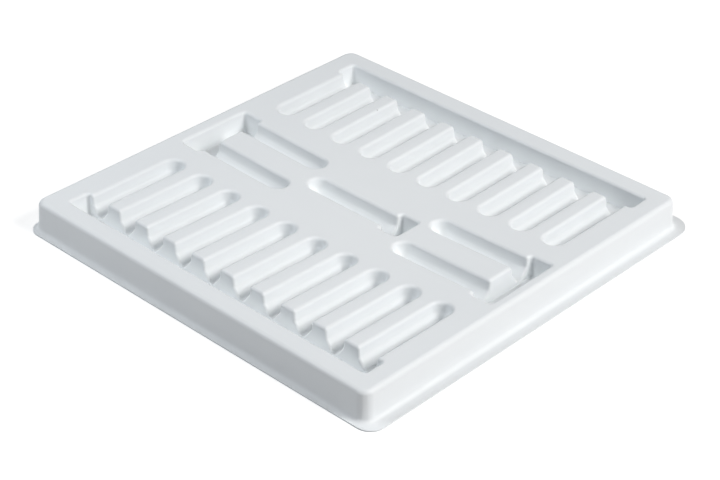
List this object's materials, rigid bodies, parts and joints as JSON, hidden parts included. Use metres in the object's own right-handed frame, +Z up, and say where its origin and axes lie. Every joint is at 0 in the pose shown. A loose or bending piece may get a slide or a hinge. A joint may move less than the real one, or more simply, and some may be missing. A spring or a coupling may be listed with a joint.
{
  "type": "formed parts tray",
  "caption": "Shallow white formed plastic tray with combs of parallel grooves that open into troughs, for holding small parts or leads in order at a test bench.",
  "frame": {"origin": "centre of the tray's outline, on the underside of the lip that it stands on", "axes": "+X and +Y along the sides, the combs' grooves run along Y and the single pockets' grooves along X, +Z up out of the grooves"},
  "size_m": [0.292, 0.2918, 0.021],
  "materials": {
    "white_plastic": "thin off-white formed plastic sheet with a soft satin sheen"
  },
  "bodies": {
    "root": {"tray": "white_plastic"}
  },
  "joints": []
}
